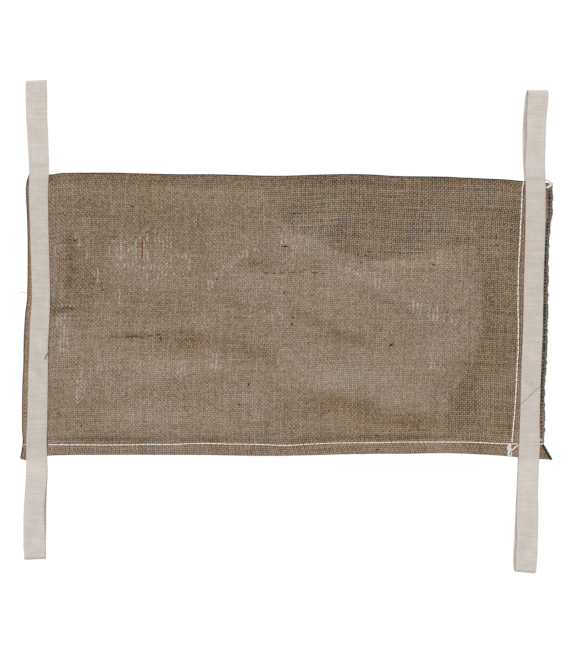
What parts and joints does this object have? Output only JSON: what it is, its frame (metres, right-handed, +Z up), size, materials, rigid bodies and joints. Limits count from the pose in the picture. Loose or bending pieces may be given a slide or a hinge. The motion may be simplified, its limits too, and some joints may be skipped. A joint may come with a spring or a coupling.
{
  "type": "absorbent flood sack",
  "caption": "Flat jute sack around a thin absorbent pouch, sewn along its hem and one end, with a cotton webbing loop across each end to carry it by.",
  "frame": {"origin": "on the floor under the middle of the sack, on its flat underside", "axes": "+X along the sack towards its sewn end, +Y across it towards its folded edge, +Z up, out of the face that shows"},
  "size_m": [0.6109, 0.5659, 0.0092],
  "materials": {
    "jute": "coarse plain-woven jute, brown",
    "webbing": "woven cotton webbing, natural cream"
  },
  "bodies": {
    "root": {"jute_sack": "jute", "strap_left": "webbing", "strap_right": "webbing"}
  },
  "joints": []
}
